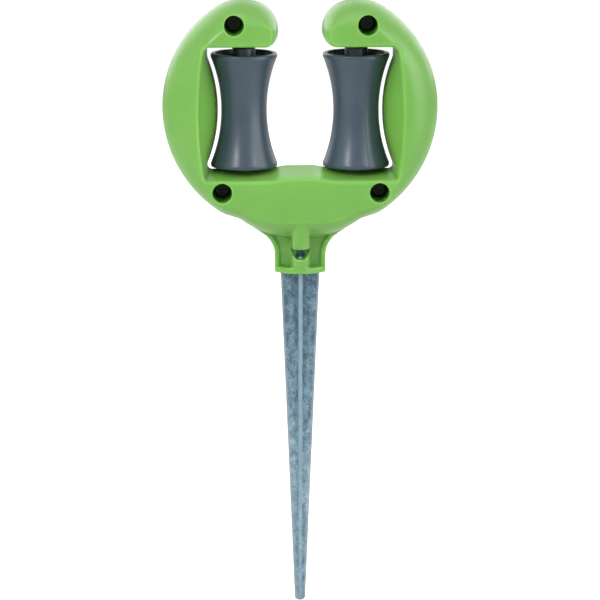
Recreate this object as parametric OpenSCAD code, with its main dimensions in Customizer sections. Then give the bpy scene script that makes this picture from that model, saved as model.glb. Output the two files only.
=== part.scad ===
// Hose guide stake: a horseshoe head in two half shells, two waisted rollers and a ground spike.
// Millimetres. The origin is on the spike's axis, at the underside of the socket's collar, where the
// head stops on the ground. Z is up, X is across the head, and the front faces -Y.

/* [Head] */
// Radius of the round outer side of each arm
arc_r = 60; // [58:0.5:63]
// Distance from the middle of the head to the centre of each outer side's arc
arc_x = 9; // [8:0.5:11]
// Radius of the outer side below the rollers' middle
low_r = 62.5; // [61:0.5:64]
// Angle below level at which a lower corner starts
hip_angle = 57; // [55:1:59]
// Radius of the lower corners
hip_r = 13; // [10:1:16]
// Length of the straight stretch from a lower corner to the belly
hip_l = 7.4; // [6.6:0.1:8.2]
// Height of the belly's ends above the collar's underside
arc_z = 27.3; // [26.6:0.1:28]
// Depth of the head from front to back
head_d = 40; // [38:0.5:46]
// Thickness of the shells' walls
wall = 2.5; // [2:0.1:2.8]
// Straight edge of each shell beside the parting line
edge_land = 1; // [0.5:0.1:1.5]
// Depth of the belly below its ends
belly_drop = 10.3; // [9.6:0.1:11]
// Angle below level at which a lower corner ends
belly_angle = 72; // [70:1:74]
// Least height of the roller seats above the belly's ends
seat_h = 24.9; // [22:0.1:27]
// How far the rounding reaches in from the outline under the middle of the belly
belly_band = 10.5; // [8:0.5:12]
// How far it reaches in at the lower corners
corner_band = 6.5; // [5:0.5:8]
// How far it reaches in on the arms
side_band = 14.5; // [12:0.5:15]
// How far it reaches in at the crown
crown_band = 10; // [8:0.5:12]
// How far it reaches in at the arm ends
tip_band = 3.3; // [2.5:0.1:4]

/* [Arm ends] */
// Gap between the two arm ends
mouth_w = 22; // [20:0.5:25]
// Angle above level at which the crown takes over from the outer arc
crown_angle = 56.5; // [55:0.5:58]
// Radius of the crown
crown_r = 24; // [23:0.5:26]
// Radius of an arm end's upper corner
tip_r = 15; // [14:0.5:16]
// Radius of an arm end's lower corner
tip_low_r = 7.2; // [6.5:0.1:7.8]

/* [Opening] */
// Gap between a roller's rim and the arm above it
rim_gap_top = 4; // [3.2:0.1:5]
// Gap between a roller's rim and the seat below it
rim_gap_floor = 1.2; // [1:0.1:1.6]
// Gap between a roller and the arm beside it
side_gap = 1.6; // [1.2:0.1:2.2]
// Width of an arm at the front, from its outside to its inner edge, halfway up
edge_x = 18.4; // [17.9:0.1:19]
// How far that edge bows in towards the opening's corners
edge_bow = 2; // [1:0.1:2.2]
// Radius of the opening's corners
corner_r = 2.2; // [1.5:0.1:3]
// How far an arm's underside rises to the front
draft = 0.7; // [0.3:0.1:1]
// How far the roller seats fall away to the front
seat_fall = 3.3; // [2.8:0.1:4]
// Rounding of the opening's front edges
edge_round = 2; // [1.4:0.1:2.2]
// Height of the hump between the roller seats
hump_h = 1.6; // [0.8:0.1:1.8]
// Half the width of the hump's top
hump_top = 5.5; // [4:0.5:7]
// Half the width of the hump's foot
hump_foot = 18; // [14:0.5:18]

/* [Rollers] */
// Distance between the two roller axles
axle_pitch = 56.2; // [56:0.1:57]
// Length of a roller between its rims' ends
roller_l = 57.4; // [56:0.2:59]
// Radius of the roller's rims
rim_r = 16.7; // [16.2:0.1:17]
// Radius of the roller's waist
waist_r = 11.4; // [11:0.1:12]
// Width of the straight land on each rim
rim_land = 1.8; // [1.4:0.1:2.4]
// Thickness of the roller's skin
roller_wall = 2.2; // [1.8:0.1:2.4]
// Radius of the roller's hub tube
hub_r = 5.8; // [5.6:0.1:6.2]
// Half the thickness of the web inside the roller
web_half = 2; // [1.5:0.1:3]
// Rounding of the rims
rim_round = 0.9; // [0.5:0.1:1]
// End play of a roller at each end
end_play = 0.3; // [0.2:0.05:0.5]

/* [Axles] */
// Diameter of the axle pins
axle_d = 6; // [5:0.1:6.4]
// Radial clearance of a roller on its axle
run_clear = 0.08; // [0.04:0.01:0.1]
// Radial clearance of an axle in the shells
seat_clear = 0.05; // [0.03:0.01:0.1]
// Depth of the axle's seat in an arm
seat_top = 6.5; // [5:0.5:7]
// Depth of the axle's seat in the bar
seat_low = 9; // [7:0.5:10]
// Thickness of the shell round an axle
seat_wall = 2.6; // [2:0.1:3]
// Chamfer on the axles' ends
axle_chamfer = 0.6; // [0.3:0.1:0.9]
// Radius of the boss under each arm, against the roller's hub
boss_r = 5.5; // [5.2:0.1:5.8]
// Height of that boss
boss_h = 0.9; // [0.6:0.1:1.2]

/* [Screws] */
// Distance of the upper screws from the middle
screw_top_x = 33.2; // [32.8:0.1:34.5]
// Height of the upper screws above the arms' underside
screw_top_z = 11.5; // [10.8:0.1:12]
// Distance of the lower screws from the middle
screw_low_x = 39.3; // [38.5:0.1:40]
// Depth of the lower screws below the roller seats
screw_low_z = 9.7; // [9.4:0.1:10.4]
// Diameter of the counterbores
bore_d = 9.8; // [9.2:0.1:10]
// Thickness of the shell under a screw's head
screw_floor = 2.5; // [2:0.5:4]
// Wall of the screw bosses
boss_wall = 1.8; // [1.5:0.1:2]
// Diameter of a screw's shank
shank_d = 4; // [3.5:0.1:4.2]
// Length of a screw's shank
shank_l = 14; // [12:0.5:15]
// Diameter of a screw's head
screw_head_d = 8.2; // [7.5:0.1:8.6]
// Height of a screw's head
screw_head_h = 2.8; // [2:0.1:3]
// Radial clearance of the shank in the front shell
shank_clear = 0.25; // [0.15:0.05:0.4]
// Radial clearance of the shank in its pilot hole
pilot_clear = 0.05; // [0.03:0.01:0.1]
// Free depth of a pilot hole past the screw's point
pilot_spare = 2; // [1:0.5:3]

/* [Socket] */
// Width of the socket's neck
neck_w = 25.6; // [24.6:0.1:26]
// Height at which the neck starts to flare
flare_z = 8.5; // [8:0.1:9]
// Radius of the flare
flare_r = 13; // [12:0.5:14]
// Angle through which the flare turns
flare_angle = 55; // [53:1:57]
// How far the straight stretch above the flare runs on into the belly
flare_l = 1.6; // [1:0.1:2.4]
// Width of the flange along the neck's sides
flange_w = 2.5; // [2:0.1:3]
// Depth of the flange on each shell
flange_d = 4.4; // [4.2:0.1:5]
// Depth of the panel between the flange and the spine
panel_d = 3.2; // [3:0.1:3.6]
// Width of the spine over the spike's fin
spine_w = 8.7; // [8:0.1:9.2]
// Depth of the spine at the collar
spine_d = 11; // [10.8:0.1:11.2]
// Lean of the spine, which brings it out to the belly's front
spine_lean = 18; // [16:0.5:18]
// Depth of the collar
collar_d = 11.7; // [11.5:0.1:12]
// Height of the collar
collar_h = 3; // [2.5:0.1:3.5]
// Width of the window in the front spine
window_w = 8.8; // [7.5:0.1:9]
// Height of the window's upper edge
window_top = 13; // [12.5:0.1:13.5]
// Height of the window's lowest edge
window_low = 7.6; // [7:0.1:8]
// Height of the window's lower corners
window_corner = 10; // [9.5:0.1:10.5]
// Width of the window's lowest edge
window_foot = 3.6; // [3:0.1:4.5]

/* [Spike] */
// Length of the spike below the collar
stake_l = 172; // [120:1:200]
// Width over the wings at the collar
wing_w = 19.6; // [18.8:0.1:19.8]
// Width over the wings at the point
wing_tip_w = 5.2; // [4.5:0.1:6]
// Reach of the fins at the collar
fin_d = 8.4; // [8:0.1:8.6]
// Reach of the fins at the point
fin_tip_d = 2.8; // [2:0.1:3.1]
// Thickness of the wings and fins at the collar
blade_t = 2.3; // [2:0.1:2.5]
// Thickness at the point
blade_tip_t = 1.6; // [1.3:0.1:1.9]
// Radius of the rounded point
point_r = 3.2; // [3.2:0.1:4]
// Height of the wings' and fins' shoulders in the socket
shoulder_z = 8.4; // [8:0.1:8.8]
// Width of the tang's neck
tang_w = 3; // [2.8:0.1:4]
// Width of the tang's head, which the shells catch
tang_head_w = 13; // [12:0.5:14]
// Height at which the tang's head starts
tang_head_z = 17; // [16:0.5:18]
// Height of the tang's head
tang_head_h = 6; // [5:0.5:7]
// Clearance of the spike in its socket
fit_clear = 0.15; // [0.1:0.05:0.2]
// Wall of the block round the tang
block_wall = 3; // [2.5:0.1:4]

/* [Ribs] */
// Thickness of the ribs inside the shells
rib_t = 1.6; // [1.2:0.1:2]
// Distance between the ribs in the arms
rib_pitch = 15; // [13:0.5:17]

/* [Hidden] */
$fn = 64;
green = [0.44, 0.68, 0.28];
slate = [0.28, 0.33, 0.38];
zinc = [0.55, 0.62, 0.68];
// Cuts run this far past the faces that they open
over = 0.5;
half_d = head_d / 2;
axle_x = axle_pitch / 2;
// Steepest fall of the crown towards an arm's end, as a sine
crown_fall_share = 0.5;
// Arc centres of the outline, as [x, z] on the right-hand side
hip_rise = hip_r * (sin(belly_angle) - sin(hip_angle)) + hip_l * cos(belly_angle);
mid_z = arc_z + hip_rise + low_r * sin(hip_angle);
side_c = [arc_x + arc_r - low_r, mid_z];
hip_c = side_c + (low_r - hip_r) * [cos(hip_angle), -sin(hip_angle)];
// The crown runs on to the arm's end with a straight stretch where its own arc can't reach it
crown_x = arc_x + (arc_r - crown_r) * cos(crown_angle);
crown_rise = (arc_r - crown_r) * sin(crown_angle);
tip_step = crown_r - tip_r;
tip_reach = crown_x - mouth_w / 2 - tip_r;
tip_turn = 90 + asin(min(crown_fall_share, tip_reach / tip_step));
tip_run = (tip_reach + tip_step * cos(tip_turn)) / sin(tip_turn);
tip_rise = crown_rise + tip_step * sin(tip_turn) + tip_run * cos(tip_turn);
// The outer sides are straight for as long as the rollers need
opening_h = rim_gap_top + roller_l + rim_gap_floor;
side_l = max(0, arc_z + seat_h + opening_h - mid_z - tip_rise + tip_low_r);
top_c = [arc_x, mid_z + side_l];
crown_c = [crown_x, top_c[1] + crown_rise];
tip_c = [mouth_w / 2 + tip_r, top_c[1] + tip_rise];
low_c = [mouth_w / 2 + tip_low_r, tip_c[1]];
// Inner edge of an arm at the front, and the reach of the rounding, which leaves that edge its own
edge_in = arc_x + arc_r - edge_x;
side_reach = min(side_band, edge_x - edge_round - edge_land);
// Heights of the opening and of the rollers in it
under_z = tip_c[1] - tip_low_r;
rim_top_z = under_z - rim_gap_top;
roller_z = rim_top_z - roller_l / 2;
floor_z = under_z - opening_h;
hub_top_z = under_z - boss_h - end_play;
hub_low_z = floor_z + end_play;
// Radius of the arc that hollows a roller's side
roller_half = roller_l / 2;
arc_half = roller_half - rim_land;
sag = rim_r - waist_r;
hollow_r = (arc_half * arc_half + sag * sag) / (2 * sag);
hollow_c = waist_r + hollow_r;
// The belly's arc, from the middle to its end
belly_x = hip_c[0] + hip_r * cos(belly_angle) - hip_l * sin(belly_angle);
belly_r = (belly_x * belly_x + belly_drop * belly_drop) / (2 * belly_drop);
belly_turn = asin(belly_x / belly_r);
// The straight stretch above the neck's flare
flare_run = (belly_x - neck_w / 2 - flare_r * (1 - cos(flare_angle))) / sin(flare_angle) + flare_l;
// The rounding ends at this angle, so a faint crease is left where it meets the flat front
crease_angle = 82;
// It ends sooner under the middle of the belly, where the crease is plain to see
belly_crease = 50;
// Stations of the loft along each stretch of the head, from the middle to an arm's end
belly_n = 9;
hip_n = 2;
low_n = 3;
lower_n = 1 + hip_n + low_n;
bend_n = 3;
side_n = 14;
upper_n = 3;
crown_n = 7;
tip_n = 9;
flat_n = 2;
// Levels of the rounding across a section
skin_levels = 6;
// Angles of the outer arc that face the opening's corners, as stations of the loft
bend_from = 41;
bend_to = 33;
// Share of the turn from the belly to the arms over which the rounding widens
widen_share = 0.75;
// Shares of the seat and of the underside that face the belly and the crown
floor_share = 0.72;
under_share = 0.3;
crown_share = 0.85;
// Shares of a screw's head that its bevel and its cross slots take, and of its shank that the point takes
bevel_share = 0.33;
slot_w_share = 0.17;
slot_l_share = 0.6;
slot_h_share = 0.5;
point_share = 0.75;
last = belly_n + lower_n + 2 * bend_n + side_n + upper_n + crown_n + tip_n;
// The hollow takes every second station, and stops at the top of the opening
core_skip = 2;
core_end = belly_n + lower_n + 2 * bend_n + side_n - 1;
// Steps of the hollow, as shares of the half depth and of the arms' rounding
core_shares = [[0.35, 0.22], [0.66, 0.52]];
// Depth of the opening's straight wall
wall_deep = half_d - edge_round;

// A share that eases in and out between 0 and 1
function ease(t) = (1 - cos(180 * max(0, min(1, t)))) / 2;
function blend(a, b, t) = a + (b - a) * ease(t);
function spot(c, r, a) = c + r * [cos(a), sin(a)];

// One station on the outside: [place, inward direction, reach of the rounding, angle of the rounding]
function on_arc(c, r, a, band, crease = crease_angle) = [spot(c, r, a), [-cos(a), -sin(a)], band, crease];
function on_side(a) = on_arc(a < 0 ? side_c : top_c, a < 0 ? low_r : arc_r, a, arc_band(a));
function arc_band(a) =
    a < 0 ? blend(corner_band, side_reach, 1 + a / (belly_angle * widen_share))
          : blend(side_reach, crown_band, a / crown_angle);
function outside() = concat(
    [for (i = [0:belly_n - 1])
        on_arc([0, arc_z - belly_drop + belly_r], belly_r, -90 + belly_turn * i / belly_n,
               blend(belly_band, corner_band, i / belly_n), blend(belly_crease, crease_angle, i / belly_n))],
    [[[belly_x, arc_z], [-cos(belly_angle), sin(belly_angle)], corner_band, crease_angle]],
    [for (i = [0:hip_n - 1])
        on_arc(hip_c, hip_r, -belly_angle + (belly_angle - hip_angle) * i / hip_n, corner_band)],
    [for (i = [0:low_n - 1]) on_side(-hip_angle + (hip_angle - bend_from) * i / low_n)],
    [for (i = [0:bend_n - 1]) on_side(-bend_from + (bend_from - bend_to) * i / bend_n)],
    [for (i = [0:side_n - 1]) on_side(-bend_to + 2 * bend_to * i / side_n)],
    [for (i = [0:bend_n - 1]) on_side(bend_to + (bend_from - bend_to) * i / bend_n)],
    [for (i = [0:upper_n - 1]) on_side(bend_from + (crown_angle - bend_from) * i / upper_n)],
    [for (i = [0:crown_n - 1])
        on_arc(crown_c, crown_r, crown_angle + (tip_turn - crown_angle) * i / crown_n, crown_band)],
    [for (i = [0:tip_n])
        on_arc(tip_c, tip_r, tip_turn + (180 - tip_turn) * i / tip_n,
               blend(crown_band, tip_band, i / tip_n))]);

// Sideways place of an arm's inner wall: it follows the roller at the parting line, where v is 0,
// and bows slightly at the front, where v is 1
function roller_side(z) = let (d = min(abs(z - roller_z), arc_half))
    hollow_c - sqrt(hollow_r * hollow_r - d * d);
function wall_x(z, v) =
    (1 - v) * (axle_x + roller_side(z) + side_gap)
    + v * (edge_in - edge_bow * pow((z - roller_z) / roller_half, 2));
function hump(x) = hump_h * ease((hump_foot - x) / (hump_foot - hump_top));

// One station on the inside: [place at v, direction into the wall, rounding, depth of the straight wall]
function inside(v) =
    let (zf = floor_z - v * seat_fall, zu = under_z + v * draft,
         xf = wall_x(zf + corner_r, v) - corner_r, xu = wall_x(zu - corner_r, v) - corner_r,
         x1 = xf * floor_share, x2 = xu + (low_c[0] - xu) * under_share,
         x3 = xu + (low_c[0] - xu) * crown_share, deep = wall_deep)
    concat(
    [for (i = [0:belly_n - 1]) let (x = x1 * i / belly_n)
        [[x, zf + hump(x)], [0, -1], edge_round, deep]],
    [for (i = [0:lower_n - 1]) let (x = x1 + (xf - x1) * i / lower_n)
        [[x, zf + hump(x)], [0, -1], edge_round, deep]],
    [for (i = [0:bend_n - 1]) let (a = -90 + 90 * i / bend_n)
        [spot([xf, zf + corner_r], corner_r, a), [cos(a), sin(a)], edge_round, deep]],
    [for (i = [0:side_n - 1]) let (z = zf + corner_r + (zu - zf - 2 * corner_r) * i / side_n)
        [[wall_x(z, v), z], [1, 0], edge_round, deep]],
    [for (i = [0:bend_n - 1]) let (a = 90 * i / bend_n)
        [spot([xu, zu - corner_r], corner_r, a), [cos(a), sin(a)], edge_round, deep]],
    [for (i = [0:upper_n - 1]) [[xu + (x2 - xu) * i / upper_n, zu], [0, 1], edge_round, deep]],
    [for (i = [0:crown_n - 1]) [[x2 + (x3 - x2) * i / crown_n, zu], [0, 1], edge_round, deep]],
    [for (i = [0:flat_n - 1]) [[x3 + (low_c[0] - x3) * i / flat_n, zu], [0, 1], edge_round, deep]],
    [for (i = [0:tip_n - flat_n]) let (t = i / (tip_n - flat_n), a = -90 - 90 * t)
        [low_c + tip_low_r * [cos(a), sin(a)] + [0, v * draft * (1 - t)], [-cos(a), -sin(a)],
         blend(edge_round, tip_band, t), blend(deep, edge_land, t)]]);

// One section's points at one level: level 0 is the parting line, 1 the end of the straight wall
function rounded(p, dir, reach, from, k, crease) = let (
    t = crease * (k - 1) / skin_levels,
    q = p + dir * reach * (1 - cos(t)) / (1 - cos(crease)))
    [q[0], -(from + (half_d - from) * sin(t) / sin(crease)), q[1]];
function outer_point(s, k) =
    k == 0 ? [s[0][0], 0, s[0][1]] : rounded(s[0], s[1], s[2], edge_land, k, s[3]);
function inner_point(s0, s1, k) =
    k == 0 ? [s0[0][0], 0, s0[0][1]]
           : rounded(s0[0] + (s1[0] - s0[0]) * s1[3] / wall_deep, s1[1], s1[2], s1[3], k, crease_angle);

// A loft of closed sections along the horseshoe, from one arm's end round to the other's
module horseshoe() {
    n = skin_levels;
    o = outside();
    i0 = inside(0);
    i1 = inside(1);
    // Points run by station from one end to the other, then by side (outside 0, inside 1), then by level
    pts = [for (i = [-last:last]) for (c = [0, 1]) for (k = [0:n + 1])
        let (j = abs(i), side = i < 0 ? -1 : 1,
             p = c == 0 ? outer_point(o[j], k) : inner_point(i0[j], i1[j], k))
        [side * p[0], p[1], p[2]]];
    // Both sides share their points at the ends of the arms
    function id(i, c, k) = ((i + last) * 2 + (abs(i) == last ? 0 : c)) * (n + 2) + k;
    function quad(a, b, c, d) = [[a, b, c], [a, c, d]];
    raw = [for (i = [-last:last - 1]) each concat(
        [for (k = [0:n])
            each quad(id(i, 0, k), id(i, 0, k + 1), id(i + 1, 0, k + 1), id(i + 1, 0, k))],
        [for (k = [0:n])
            each quad(id(i + 1, 1, k), id(i + 1, 1, k + 1), id(i, 1, k + 1), id(i, 1, k))],
        quad(id(i, 0, n + 1), id(i, 1, n + 1), id(i + 1, 1, n + 1), id(i + 1, 0, n + 1)),
        quad(id(i, 1, 0), id(i, 0, 0), id(i + 1, 0, 0), id(i + 1, 1, 0)))];
    faces = [for (f = raw) if (f[0] != f[1] && f[1] != f[2] && f[2] != f[0]) f];
    polyhedron(points = pts, faces = faces, convexity = 6);
}

// One step of the hollow behind the skin, drawn in x and z: it keeps clear of the outside by an inset,
// and of the opening's wall at this depth by the wall's thickness
module core_outline(depth, inset) {
    o = outside();
    w = inside(min(1, depth / wall_deep));
    picks = [for (i = [0:core_skip:core_end]) i];
    half = concat(
        [for (i = picks) o[i][0] + o[i][1] * inset],
        [for (k = [len(picks) - 1:-1:0]) w[picks[k]][0] + w[picks[k]][1] * wall]);
    for (s = [0, 1]) mirror([s, 0]) polygon(half);
}

// Half a cylinder on the front side of the parting plane
module half_post(r, h) {
    rotate([0, 0, 180]) rotate_extrude(angle = 180) square([r, h]);
}

// A flat shape drawn in x and z, as a plate from the parting plane to a depth at the front
module front_plate(d) {
    rotate([90, 0, 0]) linear_extrude(height = d) children();
}

// Outline of the neck, drawn in by an inset
module neck_outline(inset) {
    w = neck_w / 2 - inset;
    c = [neck_w / 2 + flare_r, flare_z];
    r = flare_r + inset;
    steps = 8;
    arc = [for (i = [0:steps]) let (t = flare_angle * i / steps) c + r * [-cos(t), sin(t)]];
    end = arc[steps] + flare_run * [sin(flare_angle), cos(flare_angle)];
    top = end[1] + wall;
    side = concat([[w, 0]], arc, [end, [end[0] - wall, top]]);
    polygon(concat(side, [for (i = [len(side) - 1:-1:0]) [-side[i][0], side[i][1]]]));
}

// The rib over the spike's fin, which leans out from the collar to the belly
module spine() {
    r = spine_w / 2;
    intersection() {
        translate([0, -spine_d, 0]) rotate([spine_lean, 0, 0]) translate([0, 0, -half_d])
            linear_extrude(height = head_d + half_d) {
                translate([-r, r]) square([spine_w, head_d]);
                translate([0, r]) circle(r = r);
            }
        translate([-spine_w, -half_d, 0]) cube([2 * spine_w, half_d, arc_z - belly_drop + belly_band]);
    }
}

// The socket outside, on one shell
module neck() {
    rise = collar_d - flange_d;
    bow_r = (neck_w * neck_w / 4 + rise * rise) / (2 * rise);
    front_plate(panel_d) neck_outline(0);
    front_plate(flange_d) difference() {
        neck_outline(0);
        neck_outline(flange_w);
    }
    spine();
    linear_extrude(height = collar_h) intersection() {
        translate([0, bow_r - collar_d]) circle(r = bow_r);
        translate([-neck_w / 2, -collar_d - over]) square([neck_w, collar_d + over]);
    }
}

// What stays standing in the hollow of both shells, drawn in x and z: the axle seats, the block round
// the tang and the ribs
module inner_works() {
    seat_r = axle_d / 2 + seat_wall;
    block_w = tang_head_w + 2 * block_wall;
    for (s = [-1, 1]) {
        translate([s * axle_x - seat_r, under_z]) square([2 * seat_r, seat_top + wall]);
        translate([s * axle_x - seat_r, floor_z - seat_low - wall]) square([2 * seat_r, seat_low + wall]);
        for (k = [-1:1])
            translate([s * edge_in - arc_r / 2, roller_z + k * rib_pitch - rib_t / 2]) square([arc_r, rib_t]);
    }
    translate([-block_w / 2, 0]) square([block_w, floor_z]);
}

// The screws' places, as [x, z]
screw_spots = [[-screw_top_x, under_z + screw_top_z], [screw_top_x, under_z + screw_top_z],
               [-screw_low_x, floor_z - screw_low_z], [screw_low_x, floor_z - screw_low_z]];

// Moves its children to each screw, with the screw's axis pointing from front to back
module at_screws() {
    for (p = screw_spots) translate([p[0], 0, p[1]]) rotate([-90, 0, 0]) children();
}

// Room for the axles, through the seats of both shells
module axle_room() {
    for (s = [-1, 1]) translate([s * axle_x, 0, floor_z - seat_low])
        cylinder(r = axle_d / 2 + seat_clear, h = under_z + seat_top - floor_z + seat_low);
}

// Room for the spike in the socket, and for the head of its tang
module stake_room() {
    w = wing_w / 2 + fit_clear;
    t = blade_t / 2 + fit_clear;
    d = fin_d + fit_clear;
    h = shoulder_z + fit_clear + over;
    translate([-w, -t, -over]) cube([2 * w, 2 * t, h]);
    translate([-t, -d, -over]) cube([2 * t, 2 * d, h]);
    translate([-tang_w / 2 - fit_clear, -t, 0]) cube([tang_w + 2 * fit_clear, 2 * t, tang_head_z + over]);
    translate([-tang_head_w / 2 - fit_clear, -t, tang_head_z - fit_clear])
        cube([tang_head_w + 2 * fit_clear, 2 * t, tang_head_h + 2 * fit_clear]);
}

// One step of the hollow, from a start down to its share of the depth
module core_step(shares, start) {
    depth = shares[0] * half_d;
    translate([0, start, 0]) front_plate(depth + start) difference() {
        core_outline(depth, shares[1] * side_reach);
        inner_works();
        for (p = screw_spots) translate(p) circle(r = bore_d / 2 + boss_wall);
    }
}

// One half of the head, drawn at the front, with further cuts as children
module half_shell() {
    difference() {
        union() {
            horseshoe();
            neck();
            for (s = [-1, 1])
                translate([s * axle_x, 0, under_z - boss_h]) half_post(boss_r, boss_h + wall);
        }
        core_step(core_shares[0], over);
        core_step(core_shares[1], -core_shares[0][0] * half_d);
        axle_room();
        stake_room();
        children();
    }
}

module front_shell() {
    half_w = window_w / 2;
    half_foot = window_foot / 2;
    color(green) half_shell() {
        at_screws() translate([0, 0, -half_d - over]) {
            cylinder(d = bore_d, h = half_d + over - screw_floor);
            cylinder(r = shank_d / 2 + shank_clear, h = half_d + 2 * over);
        }
        translate([0, -blade_t / 2 - fit_clear, 0]) front_plate(half_d) polygon([
            [-half_w, window_top], [-half_w, window_corner], [-half_foot, window_low],
            [half_foot, window_low], [half_w, window_corner], [half_w, window_top]]);
    }
}

module rear_shell() {
    depth = shank_l - screw_floor + pilot_spare;
    color(green) mirror([0, 1, 0]) half_shell()
        at_screws() translate([0, 0, -depth]) cylinder(r = shank_d / 2 + pilot_clear, h = depth + over);
}

// Half section of a roller: [radius, height] about the waist
module roller_section() {
    bore_r = axle_d / 2 + run_clear;
    up = hub_top_z - roller_z;
    down = roller_z - hub_low_z;
    lip_r = rim_r - roller_wall;
    difference() {
        union() {
            translate([bore_r, -roller_half + rim_round])
                square([rim_r - bore_r, roller_l - 2 * rim_round]);
            translate([bore_r, -roller_half]) square([rim_r - rim_round - bore_r, roller_l]);
            for (s = [-1, 1])
                translate([rim_r - rim_round, s * (roller_half - rim_round)]) circle(r = rim_round);
            translate([bore_r, -down]) square([hub_r - bore_r, down + up]);
        }
        translate([hollow_c, 0]) circle(r = hollow_r, $fn = 256);
        for (s = [0, 1]) mirror([0, s]) difference() {
            translate([hub_r, web_half]) square([lip_r - hub_r, roller_half]);
            translate([hollow_c, 0]) circle(r = hollow_r + roller_wall, $fn = 256);
        }
    }
}

module roller(side) {
    color(slate) translate([side * axle_x, 0, roller_z]) rotate_extrude($fn = 96) roller_section();
}

module left_roller() { roller(-1); }

module right_roller() { roller(1); }

module axle(side) {
    low = floor_z - seat_low;
    length = under_z + seat_top - low;
    r = axle_d / 2;
    c = axle_chamfer;
    color(zinc) translate([side * axle_x, 0, low]) rotate_extrude() polygon([
        [0, 0], [r - c, 0], [r, c], [r, length - c], [r - c, length], [0, length]]);
}

module left_axle() { axle(-1); }

module right_axle() { axle(1); }

// A plate that tapers in width and in thickness from the collar to the point
module blade(w0, t0, w1, t1) {
    a = w0 / 2;
    b = t0 / 2;
    c = w1 / 2;
    d = t1 / 2;
    polyhedron(
        points = [[-c, -d, -stake_l], [c, -d, -stake_l], [c, d, -stake_l], [-c, d, -stake_l],
                  [-a, -b, 0], [a, -b, 0], [a, b, 0], [-a, b, 0]],
        faces = [[0, 1, 2, 3], [7, 6, 5, 4], [4, 5, 1, 0], [5, 6, 2, 1], [6, 7, 3, 2], [7, 4, 0, 3]]);
}

module stake() {
    color(zinc) {
        intersection() {
            union() {
                blade(wing_w, blade_t, wing_tip_w, blade_tip_t);
                rotate([0, 0, 90]) blade(2 * fin_d, blade_t, 2 * fin_tip_d, blade_tip_t);
            }
            union() {
                translate([0, 0, -stake_l + point_r]) sphere(r = point_r);
                translate([0, 0, -stake_l + point_r]) cylinder(r = wing_w, h = stake_l);
            }
        }
        translate([-wing_w / 2, -blade_t / 2, 0]) cube([wing_w, blade_t, shoulder_z]);
        translate([-blade_t / 2, -fin_d, 0]) cube([blade_t, 2 * fin_d, shoulder_z]);
        translate([-tang_w / 2, -blade_t / 2, 0]) cube([tang_w, blade_t, tang_head_z + tang_head_h / 2]);
        translate([-tang_head_w / 2, -blade_t / 2, tang_head_z]) cube([tang_head_w, blade_t, tang_head_h]);
    }
}

// One pan head screw, with its seat at the origin and its point towards +Z
module screw() {
    head_r = screw_head_d / 2;
    bevel = screw_head_h * bevel_share;
    slot_w = screw_head_d * slot_w_share;
    slot_l = screw_head_d * slot_l_share;
    slot_h = screw_head_h * slot_h_share;
    point = shank_d * point_share;
    difference() {
        rotate_extrude() polygon([
            [0, -screw_head_h], [head_r - bevel, -screw_head_h], [head_r, -screw_head_h + bevel],
            [head_r, 0], [shank_d / 2, 0], [shank_d / 2, shank_l - point], [0, shank_l]]);
        for (a = [0, 90]) rotate([0, 0, a])
            translate([-slot_l / 2, -slot_w / 2, -screw_head_h - over])
                cube([slot_l, slot_w, slot_h + over]);
    }
}

module shell_screws() {
    color(zinc) at_screws() translate([0, 0, -screw_floor]) screw();
}

front_shell();
rear_shell();
left_roller();
right_roller();
left_axle();
right_axle();
stake();
shell_screws();
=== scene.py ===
"""Looks of a hose guide stake: green moulded shells, slate rollers and a galvanised spike."""

import math

import bmesh
import bpy
import numpy as np
from mathutils import Matrix, Vector


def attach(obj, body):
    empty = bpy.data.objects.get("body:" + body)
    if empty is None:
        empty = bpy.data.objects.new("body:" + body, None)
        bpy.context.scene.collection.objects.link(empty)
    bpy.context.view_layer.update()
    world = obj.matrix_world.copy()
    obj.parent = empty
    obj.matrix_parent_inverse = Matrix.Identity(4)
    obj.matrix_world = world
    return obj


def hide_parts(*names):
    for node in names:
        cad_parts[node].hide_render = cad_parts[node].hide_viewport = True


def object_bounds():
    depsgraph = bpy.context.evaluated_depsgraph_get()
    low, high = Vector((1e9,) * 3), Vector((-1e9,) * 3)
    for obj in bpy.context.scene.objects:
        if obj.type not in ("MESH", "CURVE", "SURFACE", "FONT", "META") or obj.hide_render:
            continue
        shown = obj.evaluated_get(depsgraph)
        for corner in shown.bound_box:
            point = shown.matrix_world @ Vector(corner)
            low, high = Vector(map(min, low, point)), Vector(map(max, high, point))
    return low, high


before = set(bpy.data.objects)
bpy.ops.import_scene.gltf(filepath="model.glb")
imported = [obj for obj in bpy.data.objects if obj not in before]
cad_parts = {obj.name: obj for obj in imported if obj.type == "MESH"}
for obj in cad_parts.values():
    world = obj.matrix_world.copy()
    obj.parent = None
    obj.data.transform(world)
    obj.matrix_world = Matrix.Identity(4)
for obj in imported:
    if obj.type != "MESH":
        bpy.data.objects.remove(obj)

scene = bpy.context.scene
cad_box = [list(v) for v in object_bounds()]
MM = 0.001  # a millimetre, in metres

# Sizes in millimetres and angles in degrees, with the values of the CAD source.
# Z is up from the collar's underside, and Y runs back from the plane where the two halves part.

# outline of the head
ARC_R = 60.0  # outer side of an arm, above the rollers' middle
ARC_X = 9.0  # centre of that arc, from the middle of the head
LOW_R = 62.5  # outer side below the rollers' middle
HIP_ANGLE = 57.0  # below level, where a lower corner starts
HIP_R = 13.0  # lower corner
HIP_L = 7.4  # straight stretch from a lower corner to the belly
BELLY_ANGLE = 72.0  # below level, where a lower corner ends
BELLY_END_Z = 27.3  # height of the belly's ends
BELLY_DROP = 10.3  # depth of the belly below its ends
MOUTH_W = 22.0  # gap between the arm ends
CROWN_ANGLE = 56.5  # above level, where the crown takes over from the outer side
CROWN_R = 24.0
TIP_R = 15.0  # upper corner of an arm's end
TIP_LOW_R = 7.2  # lower corner of an arm's end

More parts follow.
